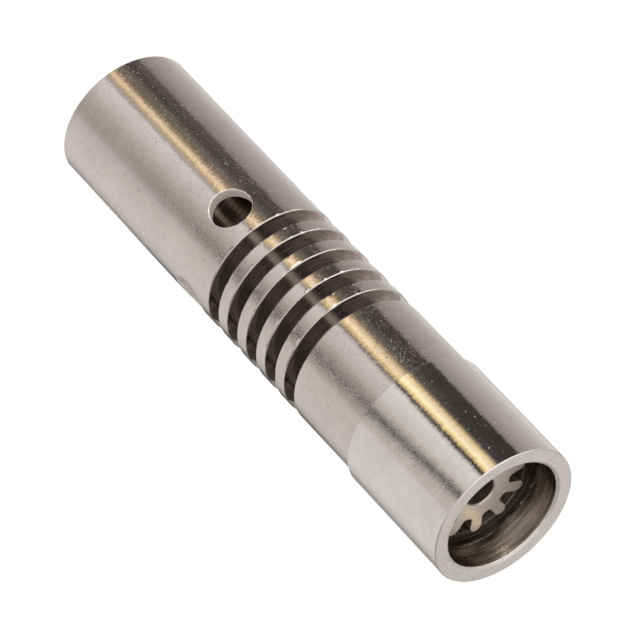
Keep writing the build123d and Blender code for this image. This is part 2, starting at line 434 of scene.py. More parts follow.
def bored(name, base, rough, marks, pitch=0.2, aniso=0.6, painted_light=False, painted_streaks=False):
    """The inside of a bore: darker, with turning marks that can be seen."""
    m, n, s, mm = start_material(name)
    x, y, z = n.xyz(mm)
    rings = n.noise(turned(n, mm, 5.0, 0.15), 1.0, 3.0, 0.65)
    fine = n.noise(mm, 5.0, 2.0, 0.65)
    cloud = n.noise(mm, 0.6, 3.0, 0.55)
    wob = n.noise(turned(n, mm, 0.8, 0.35), 1.0, 2.0, 0.5)
    phase = n.math("ADD", n.math("MULTIPLY", z, 2 * math.pi / pitch), n.math("MULTIPLY", wob, 9.0))
    ridge = n.math("SINE", phase)
    fade = n.smooth(n.noise(turned(n, mm, 0.7, 0.3), 1.0, 2.0, 0.5), 0.35, 0.65, 0.35, 1.0)
    cut = 0.20 if painted_light else 0.08
    tone = n.smooth(rings, 0.34, 0.64, 0.82 - cut, 1.08 + cut)
    tone = n.math("MULTIPLY", tone, n.smooth(cloud, 0.3, 0.7, 0.90, 1.06))
    tone = n.math("MULTIPLY", tone, n.smooth(ridge, -1.0, 1.0, 0.95 - cut, 1.02 + cut))
    tone = n.math("MULTIPLY", tone, n.smooth(fine, 0.3, 0.7, 0.88, 1.12))
    ground = n.vec(*base)
    rough_at = n.smooth(fine, 0.3, 0.7, rough * 0.8, rough * 1.25)
    h = n.math("MULTIPLY", n.math("MULTIPLY", ridge, fade), 0.0030 * marks)
    h = n.math("ADD", h, n.math("MULTIPLY", rings, 0.0060 * marks))
    h = n.math("ADD", h, n.math("MULTIPLY", fine, 0.0080 * marks))
    if painted_streaks:
        # painted reflections: dark and light streaks painted along the socket's wall, opposite the air hole that looks
        # in, where the wall mirrors the hole's bright opening
        a = math.radians(99.75)
        side = n.math("ADD", n.math("MULTIPLY", x, math.cos(a)), n.math("MULTIPLY", y, math.sin(a)))
        low = n.math("SUBTRACT", z, 12.4)
        side = n.math("ADD", side, n.math("MULTIPLY", n.math("MULTIPLY", low, low), 0.035))
        side = n.math("ADD", side, centred(n, n.noise(turned(n, mm, 0.5, 0.9), 1.0, 2.0, 0.5), 0.35))

        def streak(centre, width):
            off = n.math("DIVIDE", n.math("SUBTRACT", side, centre), width)
            return n.math("EXPONENT", n.math("MULTIPLY", n.math("MULTIPLY", off, off), -1.0))

        bright = n.math("ADD", n.math("MULTIPLY", streak(-1.62, 0.34), 1.60), n.math("MULTIPLY", streak(-0.02, 0.26), 1.90))
        bright = n.math("MULTIPLY", bright, n.smooth(z, 8.5, 12.0, 0.6, 1.0))
        bright = n.math("ADD", bright, n.smooth(z, 12.6, 13.8, 0.25, 0.95))
        bright = n.math("MINIMUM", bright, 1.85)
        tone = n.math("MULTIPLY", tone, bright)
    if painted_light:
        # painted shade and painted highlights: the last turns before the seat are painted dark where they mirror the
        # dark seat, with a painted dark line above them and painted bright glints where they mirror the disc's teeth
        ragged = n.math("ADD", z, centred(n, n.noise(turned(n, mm, 1.5, 2.4), 1.0, 2.0, 0.65), 0.50))
        tone = n.math("MULTIPLY", tone, n.smooth(ragged, 56.52, 56.78, 0.42, 1.0))
        off = n.math("DIVIDE", n.math("SUBTRACT", ragged, 56.95), 0.075)
        tone = n.math("MULTIPLY", tone, n.math("SUBTRACT", 1.0, n.math("MULTIPLY", 0.42, n.math(
            "EXPONENT", n.math("MULTIPLY", n.math("MULTIPLY", off, off), -1.0)))))
        off = n.math("DIVIDE", n.math("SUBTRACT", ragged, 56.62), 0.10)
        painted_glint = n.math("EXPONENT", n.math("MULTIPLY", n.math("MULTIPLY", off, off), -1.0))
        painted_glint = n.math("MULTIPLY", painted_glint, n.smooth(n.noise(mm, 4.2, 1.0, 0.5), 0.53, 0.63))
        where = n.math("MAXIMUM", n.smooth(toward(n, mm, 213.0), math.cos(math.radians(24.0)), math.cos(math.radians(12.0))),
                       n.smooth(toward(n, mm, 163.0), math.cos(math.radians(20.0)), math.cos(math.radians(8.0))))
        painted_glint = n.math("MULTIPLY", painted_glint, n.math("ADD", 0.25, n.math("MULTIPLY", where, 0.75)))
        tone = n.math("ADD", tone, n.math("MULTIPLY", painted_glint, 1.1))
        h = n.math("ADD", h, n.math("MULTIPLY", painted_glint, 0.05))
        # painted light: the wall is painted lighter on the side toward 186 degrees
        tone = n.math("MULTIPLY", tone, n.smooth(toward(n, mm, 186.0), math.cos(math.radians(34.0)), math.cos(math.radians(6.0)), 1.0, 1.22))
        # painted reflection: a few warm flecks of painted light on the wall near the mouth
        fac = n.smooth(toward(n, mm, 169.8), math.cos(math.radians(8.0)), math.cos(math.radians(1.5)))
        fac = n.math("MULTIPLY", fac, n.smooth(z, 57.6, 58.4))
        flecks = n.smooth(n.noise(mm, 3.8, 2.0, 0.6), 0.40, 0.56)
        fac = n.math("MULTIPLY", fac, n.math("ADD", 0.25, n.math("MULTIPLY", flecks, 0.75)))
        ground = n.mix(fac, col(*base), col(0.86, 0.65, 0.47))
        tone = n.math("MULTIPLY", tone, n.math("ADD", 1.0, n.math("MULTIPLY", fac, 0.25)))
        h = n.math("ADD", h, n.math("MULTIPLY", n.math("MULTIPLY", n.noise(mm, 5.0, 1.0, 0.5), fac), 0.065))
    n.put(s.inputs["Base Color"], n.vmath("SCALE", ground, scale=tone))
    n.put(s.inputs["Roughness"], rough_at)
    s.inputs["Anisotropic"].default_value = aniso
    s.inputs["Anisotropic Rotation"].default_value = 0.25
    n.put(s.inputs["Tangent"], axis_tangent(n))
    n.put(s.inputs["Normal"], n.bump(h, MM))
    return m


def burr(name, base, rough):
    """The raised lip a drill leaves: bright and uneven."""
    m, n, s, mm = start_material(name)
    fine = n.noise(mm, 5.5, 2.0, 0.6)
    coarse = n.noise(mm, 2.2, 2.0, 0.5)
    n.put(s.inputs["Base Color"], n.vmath("SCALE", n.vec(*base), scale=n.smooth(coarse, 0.3, 0.7, 0.86, 1.08)))
    n.put(s.inputs["Roughness"], n.smooth(fine, 0.3, 0.7, rough * 0.7, rough * 1.4))
    h = n.math("ADD", n.math("MULTIPLY", fine, 0.040), n.math("MULTIPLY", coarse, 0.045))
    n.put(s.inputs["Normal"], n.bump(h, MM))
    return m


mat_body = plated("nickel_body", (0.64, 0.585, 0.562), 0.095, 0.58, 0.16, hair=0.34, sparks=2.3, haze=0.60, lay=0.75)
mat_cup = plated("nickel_cup", (0.74, 0.705, 0.68), 0.062, 0.18, 0.05, seedshift=31.0, aniso=0.5, hair=0.28, rings_h=0.35, sparks=0.7, haze=0.28)
# groove sides: painted shade on one side of the tube
mat_groove = dark_groove("groove_side", (0.62, 0.57, 0.55), 0.085, painted_shade_depth=0.46)
# groove front walls: the near-black base is painted shade under the rings, and the light colour on one side is painted
# light
mat_under = dark_groove("groove_front", (0.13, 0.115, 0.11), 0.16, painted_lit_colour=(0.93, 0.87, 0.84))
mat_face = satin("face_satin", (0.73, 0.69, 0.665), 0.30, 1.0, 0.01, specks=0.30)
# the counterbore carries painted shade, painted glints and painted warm flecks near the seat and mouth
mat_bore = bored("bore_turned", (0.57, 0.52, 0.48), 0.18, 1.9, pitch=0.17, painted_light=True)
# the seat shoulder is painted near black: painted shade
mat_seat = bored("seat_painted_shade", (0.12, 0.104, 0.095), 0.30, 0.3)
mat_inner = bored("bore_inner", (0.38, 0.32, 0.285), 0.16, 0.4, pitch=0.35)
# the socket's wall carries painted reflections in streaks
mat_socket = bored("socket_wall", (0.52, 0.43, 0.385), 0.16, 0.4, pitch=0.35, painted_streaks=True)
mat_below = bored("below_disc", (0.34, 0.29, 0.26), 0.55, 0.6)
mat_hole = satin("hole_wall", (0.785, 0.700, 0.665), 0.50, 1.0, 0.0, across=0.5, metal=0.32)
mat_lip = satin("mouth_chamfer", (0.78, 0.74, 0.715), 0.55, 1.4, 0.03, specks=0.3)
mat_burr = burr("drill_burr", (0.92, 0.89, 0.86), 0.18)
MATS = [mat_body, mat_cup, mat_groove, mat_face, mat_bore, mat_inner, mat_hole, mat_under, mat_seat, mat_lip, mat_burr,
        mat_socket, mat_below]
Z_BODY, Z_CUP, Z_GROOVE, Z_FACE, Z_BORE, Z_INNER, Z_HOLE, Z_UNDER, Z_SEAT, Z_LIP, Z_BURR, Z_SOCKET, Z_BELOW = range(13)

# ------------------------------------------------------------------ the tube's outline
corners = []


def corner(r, z, rad, pts, zone, step):
    corners.append((r, z, rad, pts, zone, step))


ROW_OUT = (OUT_Z1 - OUT_Z0) / ROWS
ROW_IN = (IN_Z1 - IN_Z0) / ROWS
corner(BODY_R, 0.0, 0.10, 3, Z_BODY, 1.6)
corner(BODY_R, OUT_Z0, 0, 0, Z_BODY, ROW_OUT)
corner(BODY_R, OUT_Z1, 0, 0, Z_BODY, 1.0)
for i, z in enumerate(GROOVES):
    corner(BODY_R, z, 0.12, 5, Z_GROOVE, 0.6)
    corner(FLOOR_R, z, 0.004, 1, Z_GROOVE, 0.8)
    corner(FLOOR_R, z + GROOVE_W, 0.004, 1, Z_UNDER, 0.6)
    corner(BODY_R, z + GROOVE_W, 0.05, 3, Z_BODY, 0.28 if i < 4 else 1.2)
corner(BODY_R, STEP_Z, 0.04, 2, Z_CUP, 0.2)
corner(CUP_R, STEP_Z, 0.08, 3, Z_CUP, 1.3)
corner(CUP_R, TUBE_LEN, 0.11, 5, Z_FACE, 0.6)
corner(MOUTH_R + 0.25, TUBE_LEN, 0.06, 2, Z_LIP, 0.2)
corner(MOUTH_R, TUBE_LEN - 0.25, 0.04, 2, Z_BORE, 0.5)
corner(MOUTH_R, SEAT_Z, 0.06, 2, Z_SEAT, 0.45)
corner(MAIN_R, SEAT_Z, 0.05, 2, Z_BELOW, 1.2)
corner(MAIN_R, SEAT_Z - 3.6, 0, 0, Z_INNER, 2.2)
corner(MAIN_R, REAR_LEN, 0.05, 2, Z_INNER, 0.45)
corner(REAR_R, REAR_LEN, 0.06, 2, Z_SOCKET, 0.4)
corner(REAR_R, IN_Z1, 0, 0, Z_SOCKET, ROW_IN)
corner(REAR_R, IN_Z0, 0, 0, Z_SOCKET, 1.8)
corner(REAR_R, 0.30, 0.05, 2, Z_FACE, 0.3)
corner(REAR_R + 0.30, 0.0, 0.05, 2, Z_FACE, 0.5)

R, Z, NR, NZ, ZONE = outline(corners)
NP = len(R)
az = np.arange(COLS) * STEP
cosA, sinA = np.cos(az), np.sin(az)

RR = np.repeat(R[:, None], COLS, 1)
ZZ = np.repeat(Z[:, None], COLS, 1)

verts = np.stack([RR * cosA, RR * sinA, ZZ], -1)
norms = np.stack([NR[:, None] * cosA, NR[:, None] * sinA, np.repeat(NZ[:, None], COLS, 1)], -1)


def rows_between(radius, lo, hi, outward):
    ok = [i for i in range(NP) if abs(R[i] - radius) < 1e-6 and lo - 1e-6 <= Z[i] <= hi + 1e-6 and NR[i] * outward > 0.9]
    assert len(ok) == ROWS + 1 and ok == list(range(ok[0], ok[0] + ROWS + 1)), (len(ok), ok)
    return ok


out_rows = rows_between(BODY_R, OUT_Z0, OUT_Z1, 1)
in_rows = rows_between(REAR_R, IN_Z0, IN_Z1, -1)

cut = np.zeros((NP, COLS), bool)      # faces taken out for the patches
gone = np.zeros((NP, COLS), bool)     # vertices inside the patches
HOLE_COLS = [0, COLS // 4, COLS // 2, 3 * COLS // 4]
for rows in (out_rows, in_rows):
    for h in HOLE_COLS:
        cc = [(h + k) % COLS for k in range(-HALF, HALF)]
        cut[np.ix_(rows[:-1], cc)] = True
        cc = [(h + k) % COLS for k in range(-HALF + 1, HALF)]
        gone[np.ix_(rows[1:-1], cc)] = True

ids = -np.ones((NP, COLS), int)
ids[~gone] = np.arange((~gone).sum())
V = [verts[~gone]]
N = [norms[~gone]]
count = int((~gone).sum())
F, FZ = [], []
for p in range(NP):
    q = (p + 1) % NP
    for c in range(COLS):
        if cut[p, c]:
            continue
        d = (c + 1) % COLS
        F.append((ids[p, c], ids[p, d], ids[q, d], ids[q, c]))
        FZ.append(ZONE[p])


def add(points, normals):
    global count
    V.append(points)
    N.append(normals)
    out = list(range(count, count + len(points)))
    count += len(points)
    return out


def bridge(a, b, zone):
    n = len(a)
    for i in range(n):
        j = (i + 1) % n
        F.append((a[i], a[j], b[j], b[i]))
        FZ.append(zone)


def patch_border(rows, h):
    """The patch's border vertices in order, with their (arc length, z) place in the unrolled surface."""
    radius = R[rows[0]]
    cells = []
    for k in range(-HALF, HALF):
        cells.append((rows[0], k))
    for j in range(0, ROWS):
        cells.append((rows[j], HALF))
    for k in range(HALF, -HALF, -1):
        cells.append((rows[-1], k))
    for j in range(ROWS, 0, -1):
        cells.append((rows[j], -HALF))
    idx = [int(ids[p, (h + k) % COLS]) for p, k in cells]
    place = np.array([[radius * k * STEP, Z[p]] for p, k in cells])
    return idx, place


def tube_point(radius, s, z, centre):
    a = centre + s / radius
    return np.stack([radius * np.cos(a), radius * np.sin(a), z], -1), np.stack(
        [np.cos(a), np.sin(a), 0 * a], -1)


for hi, h in enumerate(HOLE_COLS):
    centre = h * STEP
    ex = np.array([math.cos(centre), math.sin(centre), 0.0])
    ey = np.array([-math.sin(centre), math.cos(centre), 0.0])
    ez = np.array([0.0, 0.0, 1.0])
    idx_o, place_o = patch_border(out_rows, h)
    if Z[in_rows[0]] > Z[in_rows[-1]]:
        inner_rows = in_rows[::-1]
    else:
        inner_rows = in_rows
    idx_i, place_i = patch_border(inner_rows, h)
    theta = np.arctan2(place_o[:, 1] - HOLE_Z, place_o[:, 0])
    theta_i = np.arctan2(place_i[:, 1] - HOLE_Z, place_i[:, 0])
    # the drilled edge is a little uneven
    wob = ring_noise(theta, 50 + hi, 5, 40, 0.35)
    lip = ring_noise(theta, 80 + hi, 9, 56, 0.15)
    edge = 0.085 + 0.042 * lip                 # width of the broken edge
    edge = np.clip(edge, 0.03, 0.15)
    hole_r = HOLE_R + 0.010 * wob

    def hole_loop(rad, depth, radius, blend, th=theta):
        """Points round the hole at hole radius rad, depth below the outer surface of that radius."""
        y = rad * np.cos(th)
        z = HOLE_Z + rad * np.sin(th)
        x = np.sqrt(radius ** 2 - y ** 2) - depth
        pts = x[:, None] * ex + y[:, None] * ey + z[:, None] * ez
        surf = np.sqrt(radius ** 2 - y ** 2)[:, None] / radius * ex + (y / radius)[:, None] * ey
        wall = -(np.cos(th)[:, None] * ey + np.sin(th)[:, None] * ez)
        n = math.cos(blend) * surf + math.sin(blend) * wall
        n = n / np.linalg.norm(n, axis=1)[:, None]
        return pts, n

    # outside: from the patch border in to the hole's broken edge
    rim = hole_r + edge
    y = rim * np.cos(theta)
    inner_place = np.stack([BODY_R * np.arcsin(y / BODY_R), HOLE_Z + rim * np.sin(theta)], -1)
    layers = 11
    prev = idx_o
    for j in range(1, layers + 1):
        t = j / layers
        t = 1 - (1 - t) ** 1.5
        pl = place_o * (1 - t) + inner_place * t
        if j == layers:
            pts, nn = hole_loop(rim, 0.0, BODY_R, 0.0)
        else:
            pts, nn = tube_point(BODY_R, pl[:, 0], pl[:, 1], centre)
        cur = add(pts, nn)
        bridge(prev, cur, Z_BODY)
        prev = cur
    # the broken edge
    for j in range(1, 5):
        f = math.pi / 2 * j / 4
        pts, nn = hole_loop(hole_r + edge * (1 - math.sin(f)), edge * (1 - math.cos(f)), BODY_R, f)
        cur = add(pts, nn)
        bridge(prev, cur, Z_BURR if j < 4 else Z_HOLE)
        prev = cur
    # the wall
    y = hole_r * np.cos(theta)
    x_out = np.sqrt(BODY_R ** 2 - y ** 2) - edge
    x_in = np.sqrt(REAR_R ** 2 - y ** 2) + 0.05
    steps = 7
    wall_n = -(np.cos(theta)[:, None] * ey + np.sin(theta)[:, None] * ez)
    for j in range(1, steps + 1):
        t = j / steps
        blend_r = hole_r * (1 - t) + HOLE_R * t
        th = theta * 1.0
        y = blend_r * np.cos(th)
        x = (np.sqrt(BODY_R ** 2 - (hole_r * np.cos(th)) ** 2) - edge) * (1 - t) + (
            np.sqrt(REAR_R ** 2 - (HOLE_R * np.cos(th)) ** 2) + 0.05) * t
        z = HOLE_Z + blend_r * np.sin(th)
        pts = x[:, None] * ex + y[:, None] * ey + z[:, None] * ez
        cur = add(pts, wall_n)
        bridge(prev, cur, Z_HOLE)
        prev = cur
    # the inner edge, then out to the inner patch border; the ring turns slowly to meet its angles
    def in_loop(rad, lift, blend, mixt):
        d = (theta_i - theta + math.pi) % (2 * math.pi) - math.pi
        th = theta + d * mixt
        y = rad * np.cos(th)
        z = HOLE_Z + rad * np.sin(th)
        x = np.sqrt(REAR_R ** 2 - y ** 2) + lift
        pts = x[:, None] * ex + y[:, None] * ey + z[:, None] * ez
        surf = -(np.sqrt(REAR_R ** 2 - y ** 2)[:, None] / REAR_R * ex + (y / REAR_R)[:, None] * ey)
        wall = -(np.cos(th)[:, None] * ey + np.sin(th)[:, None] * ez)
        n = math.cos(blend) * wall + math.sin(blend) * surf
        return pts, n / np.linalg.norm(n, axis=1)[:, None]

    for j in range(1, 4):
        f = math.pi / 2 * j / 3
        pts, nn = in_loop(HOLE_R + 0.05 * (1 - math.cos(f)), 0.05 * (1 - math.sin(f)), f, 0.0)
        cur = add(pts, nn)
        bridge(prev, cur, Z_HOLE)
        prev = cur
    d = (theta_i - theta + math.pi) % (2 * math.pi) - math.pi
    rim_i = HOLE_R + 0.05
    y = rim_i * np.cos(theta)
    start = np.stack([REAR_R * np.arcsin(y / REAR_R), HOLE_Z + rim_i * np.sin(theta)], -1)
    layers = 6
    for j in range(1, layers + 1):
        t = j / layers
        if j == layers:
            bridge(prev, idx_i, Z_SOCKET)
        else:
            pl = start * (1 - t) + place_i * t
            pts, nn = tube_point(REAR_R, pl[:, 0], pl[:, 1], centre)
            cur = add(pts, -nn)
            bridge(prev, cur, Z_SOCKET)
            prev = cur

V = np.concatenate(V)
N = np.concatenate(N)
N = N / np.linalg.norm(N, axis=1)[:, None]
F = np.array(F, int)
# every face looks the way its corners' normals do
g = np.cross(V[F[:, 2]] - V[F[:, 0]], V[F[:, 3]] - V[F[:, 1]])
wrong = (g * N[F].sum(1)).sum(1) < 0
F[wrong] = F[wrong][:, ::-1]
# ------------------------------------------------------------------ knocks in the rings and their edges
phi = np.arctan2(V[:, 1], V[:, 0])
rad = np.hypot(V[:, 0], V[:, 1])
er = np.stack([np.cos(phi), np.sin(phi), 0 * phi], -1)
es = np.stack([-np.sin(phi), np.cos(phi), 0 * phi], -1)
outer = np.clip((rad - (BODY_R - 0.30)) / 0.25, 0.0, 1.0) * (V[:, 2] < STEP_Z - 0.1)
push = np.zeros(len(V))
slope_s = np.zeros(len(V))
slope_z = np.zeros(len(V))


def dent(angle_deg, z, wide_az, wide_z, depth, turn_deg=0.0):
    """A small knock: its half widths in mm round the tube and along it, turned in its own plane."""
    global push, slope_s, slope_z
    s = ((phi - math.radians(angle_deg) + math.pi) % (2 * math.pi) - math.pi) * BODY_R
    t = V[:, 2] - z
    c, k = math.cos(math.radians(turn_deg)), math.sin(math.radians(turn_deg))
    u, w = (s * c + t * k) / wide_az, (-s * k + t * c) / wide_z
    g_ = depth * np.exp(-(u * u + w * w)) * outer
    push = push + g_
    slope_s = slope_s + g_ * (-2 * u * c / wide_az + 2 * w * k / wide_z)
    slope_z = slope_z + g_ * (-2 * u * k / wide_az - 2 * w * c / wide_z)


CAM_AZ = 9.75                     # the photograph's direction, from +X
G_REAR = GROOVES                                  # rear edges of the grooves
G_FRONT = [z + GROOVE_W for z in GROOVES]         # their front edges
for a_, z_, wa, wz, dp, tn in (
        (-31.0, G_FRONT[0] + 0.10, 0.30, 0.15, 0.058, 25.0), (-27.5, G_FRONT[0] + 0.05, 0.22, 0.12, 0.038, -20.0),
        (-35.0, G_FRONT[0] + 0.12, 0.22, 0.12, 0.028, 10.0), (-23.0, G_FRONT[0] + 0.03, 0.20, 0.10, 0.032, 0.0),
        (-38.0, G_REAR[1] - 0.09, 0.24, 0.09, 0.050, -38.0), (-42.0, G_REAR[0] - 0.08, 0.22, 0.11, 0.030, 20.0),
        (-25.0, G_REAR[3] - 0.06, 0.18, 0.10, 0.026, 0.0), (-37.0, G_REAR[4] - 0.08, 0.24, 0.11, 0.028, 15.0),
        (-14.0, G_REAR[2] - 0.05, 0.20, 0.08, 0.030, 0.0), (-18.5, G_REAR[2] - 0.05, 0.17, 0.08, 0.030, 10.0),
        (-9.5, G_REAR[3] - 0.05, 0.22, 0.09, 0.038, -10.0), (-5.5, G_REAR[2] - 0.05, 0.18, 0.10, 0.040, 0.0),
        (-20.5, G_FRONT[3] + 0.05, 0.20, 0.09, 0.038, 0.0), (-16.0, G_REAR[4] - 0.06, 0.18, 0.10, 0.040, 0.0),
        (-52.0, G_REAR[1] - 0.55, 0.60, 0.085, 0.018, 48.0), (-58.5, G_REAR[1] - 0.40, 0.55, 0.090, 0.020, 57.0),
        (-46.0, G_REAR[1] - 0.62, 0.40, 0.080, 0.014, 36.0), (-64.0, G_REAR[1] - 0.70, 0.45, 0.085, 0.018, 62.0),
        (9.0, G_REAR[1] - 0.05, 0.20, 0.08, 0.018, 0.0), (22.0, G_REAR[4] - 0.05, 0.22, 0.10, 0.035, 0.0),
        (31.0, G_REAR[2] - 0.05, 0.24, 0.10, 0.030, 0.0), (44.0, G_REAR[3] - 0.05, 0.22, 0.10, 0.030, 0.0),
        (-29.0, 12.5, 0.16, 0.16, 0.012, 0.0), (-33.0, 6.8, 0.18, 0.14, 0.012, 0.0), (52.0, 9.5, 0.30, 0.20, 0.010, 30.0)):
    dent(a_ + CAM_AZ, z_, wa, wz, dp, tn)
nick = np.random.default_rng(5)
for edge_z in [z - 0.05 for z in G_REAR] + [z + 0.03 for z in G_FRONT] + [STEP_Z - 0.5]:
    for _ in range(10 if edge_z < STEP_Z - 1 else 4):
        dent(nick.uniform(-180, 180), edge_z, nick.uniform(0.15, 0.26), nick.uniform(0.05, 0.09), nick.uniform(0.012, 0.026), 0.0)
facing = np.clip((N * er).sum(1), 0, 1)
V = V - push[:, None] * er
N = N + facing[:, None] * (slope_s[:, None] * es + slope_z[:, None] * np.array([0.0, 0.0, 1.0]))
N = N / np.linalg.norm(N, axis=1)[:, None]
# the grooves' edges are not dead straight
for seed, z_ in enumerate(G_REAR + G_FRONT):
    close = (np.abs(V[:, 2] - z_) < 0.13) & (rad > BODY_R - 0.25)
    w_ = ring_noise(phi, 200 + seed, 6, 70, 0.25)
    V[close, 2] += 0.010 * w_[close]

tube = make_mesh("tube_visual", V, F.tolist(), N, MATS, FZ)
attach(tube, "root")
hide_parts("burner_tube")

# ------------------------------------------------------------------ flame disc
TEETH, TIP_R, ROOT_R, LAND = 10, 4.9, 3.08, 0.20
ROOT_HALF, FLANK_HALF, FLANK_U = 0.53, 0.585, 4.02      # half widths of a tooth, low and high
ROOT_FILLET, DISC_T, FRONT_Z, DISC_HOLE_R, DISC_EDGE, TURN = 0.42, 1.5, 56.3, 1.45, 0.12, 12.4


def arc3(a, b, c, n):
    """n points from a (kept) to c (left out) on the circle through a, b and c."""
    (ax, ay), (bx, by), (cx, cy) = a, b, c
    d = 2 * (ax * (by - cy) + bx * (cy - ay) + cx * (ay - by))
    ux = ((ax * ax + ay * ay) * (by - cy) + (bx * bx + by * by) * (cy - ay) + (cx * cx + cy * cy) * (ay - by)) / d
    uy = ((ax * ax + ay * ay) * (cx - bx) + (bx * bx + by * by) * (ax - cx) + (cx * cx + cy * cy) * (bx - ax)) / d
    r = math.hypot(ax - ux, ay - uy)
    t0 = math.atan2(ay - uy, ax - ux)
    t1 = math.atan2(by - uy, bx - ux)
    t2 = math.atan2(cy - uy, cx - ux)
    d1 = (t1 - t0) % (2 * math.pi)
    d2 = (t2 - t0) % (2 * math.pi)
    if d1 > d2:
        d2 -= 2 * math.pi
    return [(ux + r * math.cos(t0 + d2 * i / n), uy + r * math.sin(t0 + d2 * i / n)) for i in range(n)]


tip_u = math.sqrt(TIP_R ** 2 - LAND ** 2)
flank_u, flank_v = FLANK_U, FLANK_HALF
root_u, root_v = math.sqrt(ROOT_R ** 2 - ROOT_HALF ** 2), ROOT_HALF
mid_u, mid_v = (flank_u + tip_u) / 2 + 0.115, (flank_v + LAND) / 2 + 0.105
half = math.pi / TEETH
# the fillet between the root circle and a flank: its centre stands rf off the flank and ROOT_R + rf off the axis
rf = ROOT_FILLET
p0 = np.array([root_u, root_v])
td = np.array([flank_u - root_u, flank_v - root_v])
td = td / np.linalg.norm(td)
nd = np.array([-td[1], td[0]])
base_pt = p0 + rf * nd
bb = float(base_pt @ td)
cc = float(base_pt @ base_pt) - (ROOT_R + rf) ** 2
fc = base_pt + (-bb + math.sqrt(bb * bb - cc)) * td
fs = fc - rf * nd
root_end_ang = math.atan2(fc[1], fc[0])
assert root_end_ang < half
one = []
# from the tip's middle round one side to the valley's middle
one += arc3((TIP_R, 0.0), (math.sqrt(TIP_R ** 2 - (LAND / 2) ** 2), LAND / 2), (tip_u, LAND), 3)
one += arc3((tip_u, LAND), (mid_u, mid_v), (flank_u, flank_v), 12)
one += [(flank_u + (fs[0] - flank_u) * i / 3, flank_v + (fs[1] - flank_v) * i / 3) for i in range(3)]
a0 = math.atan2(fs[1] - fc[1], fs[0] - fc[0])
a1 = math.atan2(-fc[1], -fc[0])
da = (a1 - a0 + math.pi) % (2 * math.pi) - math.pi
one += [(fc[0] + rf * math.cos(a0 + da * i / 9), fc[1] + rf * math.sin(a0 + da * i / 9)) for i in range(9)]
one += [(ROOT_R * math.cos(root_end_ang + (half - root_end_ang) * i / 2),
         ROOT_R * math.sin(root_end_ang + (half - root_end_ang) * i / 2)) for i in range(2)]
pts = np.array(one + [(ROOT_R * math.cos(half), ROOT_R * math.sin(half))])
other = pts[1:-1].copy()[::-1]
other[:, 1] *= -1
# a whole tooth: valley middle, side, tip middle, side
tooth = np.concatenate([np.array([(ROOT_R * math.cos(-half), ROOT_R * math.sin(-half))]), other, pts[:-1]])
loop = []
for k in range(TEETH):
    a = math.radians(TURN) + 2 * half * k
    c, s = math.cos(a), math.sin(a)
    loop.append(np.stack([tooth[:, 0] * c - tooth[:, 1] * s, tooth[:, 0] * s + tooth[:, 1] * c], -1))
loop = np.concatenate(loop)
nl = len(loop)
tan = np.roll(loop, -1, 0) - np.roll(loop, 1, 0)
tan /= np.linalg.norm(tan, axis=1)[:, None]
outn = np.stack([tan[:, 1], -tan[:, 0]], -1)
EDGE = 0.035
wobble = ring_noise(np.arange(nl) * 2 * math.pi / nl, 7, 20, 160, 0.2)
ew = np.clip(EDGE + 0.010 * wobble, 0.018, 0.06)
DV, DN, DF, DZ = [], [], [], []
dcount = 0


def dadd(p, n):
    global dcount
    DV.append(p)
    DN.append(n)
    out = list(range(dcount, dcount + len(p)))
    dcount += len(p)
    return out


def dbridge(a, b, zone):
    n = len(a)
    for i in range(n):
        j = (i + 1) % n
        DF.append([a[i], a[j], b[j], b[i]])
        DZ.append(zone)


def side_loop(inset, z, nz):
    p = np.column_stack([loop - outn * (inset[:, None] if hasattr(inset, "shape") else inset), z + np.zeros(nl)])
    n = np.column_stack([outn * math.sqrt(max(0, 1 - nz * nz)), np.full(nl, nz)])
    return dadd(p, n)


BACK_Z = FRONT_Z - DISC_T
front_ids = side_loop(ew, FRONT_Z, 1.0)
prev = front_ids
for j in range(1, 4):
    f = math.pi / 2 * j / 3
    cur = side_loop(ew * (1 - math.sin(f)), FRONT_Z - ew * (1 - math.cos(f)), math.cos(f))
    dbridge(prev, cur, 0)
    prev = cur
for z in (FRONT_Z - 0.5, FRONT_Z - 1.0, BACK_Z + 0.05):
    cur = side_loop(0.0, z, 0.0)
    dbridge(prev, cur, 0)
    prev = cur
for j in range(1, 3):
    f = math.pi / 2 * j / 2
    cur = side_loop(0.05 * (1 - math.cos(f)), BACK_Z + 0.05 * (1 - math.sin(f)), -math.sin(f))
    dbridge(prev, cur, 0)
    prev = cur
back_ids = prev
# the hole through the disc
nh = 96
ha = np.arange(nh) * 2 * math.pi / nh


def hole_ring(radius, z, nr, nz):
    p = np.column_stack([radius * np.cos(ha), radius * np.sin(ha), np.full(nh, z)])
    n = np.column_stack([nr * np.cos(ha), nr * np.sin(ha), np.full(nh, nz)])
    return dadd(p, n)


q = math.sqrt(0.5)
hole_front = hole_ring(DISC_HOLE_R + DISC_EDGE + 0.015, FRONT_Z, 0, 1)
prev = hole_front
for radius, z, nr, nz in ((DISC_HOLE_R + DISC_EDGE - 0.01, FRONT_Z - 0.012, -q, q),
                          (DISC_HOLE_R + 0.012, FRONT_Z - DISC_EDGE + 0.012, -q, q),
                          (DISC_HOLE_R, FRONT_Z - DISC_EDGE - 0.02, -1, 0),
                          (DISC_HOLE_R, FRONT_Z - 0.8, -1, 0),
                          (DISC_HOLE_R, BACK_Z + 0.03, -1, 0),
                          (DISC_HOLE_R + 0.03, BACK_Z, 0, -1)):
    cur = hole_ring(radius, z, nr, nz)
    dbridge(prev, cur, 0)
    prev = cur
hole_back = prev
DVa = np.concatenate(DV)


def inside(poly, p):
    x, y = p
    a, b = poly, np.roll(poly, -1, 0)
    crosses = ((a[:, 1] > y) != (b[:, 1] > y)) & (
        x < (b[:, 0] - a[:, 0]) * (y - a[:, 1]) / (b[:, 1] - a[:, 1] + 1e-30) + a[:, 0])
    return int(crosses.sum()) % 2 == 1


